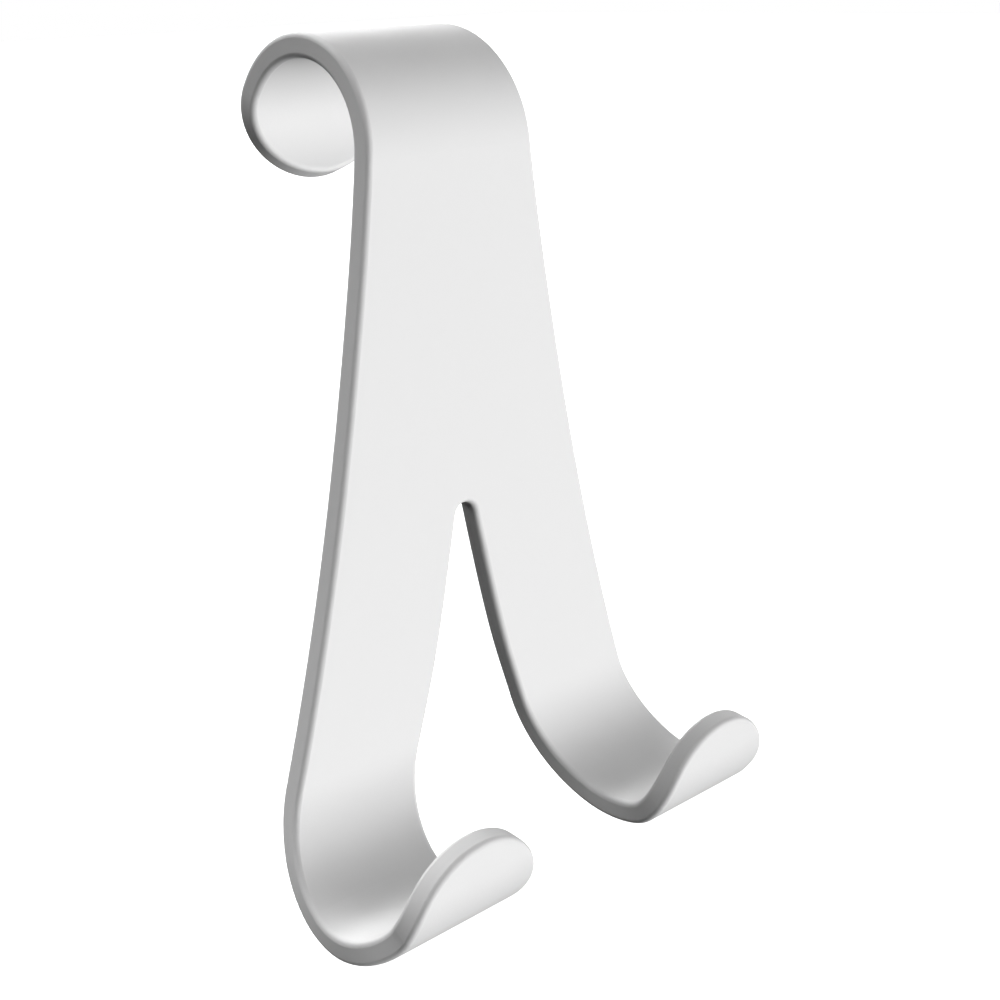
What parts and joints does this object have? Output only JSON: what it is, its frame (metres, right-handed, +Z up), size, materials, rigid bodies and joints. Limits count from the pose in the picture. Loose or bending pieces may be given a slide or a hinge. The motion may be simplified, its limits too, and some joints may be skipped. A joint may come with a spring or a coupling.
{
  "type": "radiator hook",
  "caption": "White moulded hook that clips over a radiator rail, its flat stem forking into a pair of cupped legs for towels or clothes.",
  "frame": {"origin": "on the axis of the rail that the loop hangs on, midway along the loop's width", "axes": "+X along the rail, -Y out of the hook's front towards the room, +Z up"},
  "size_m": [0.077, 0.0606, 0.1194],
  "materials": {
    "white_plastic": "satin moulded plastic"
  },
  "bodies": {
    "root": {"hook": "white_plastic"}
  },
  "joints": []
}
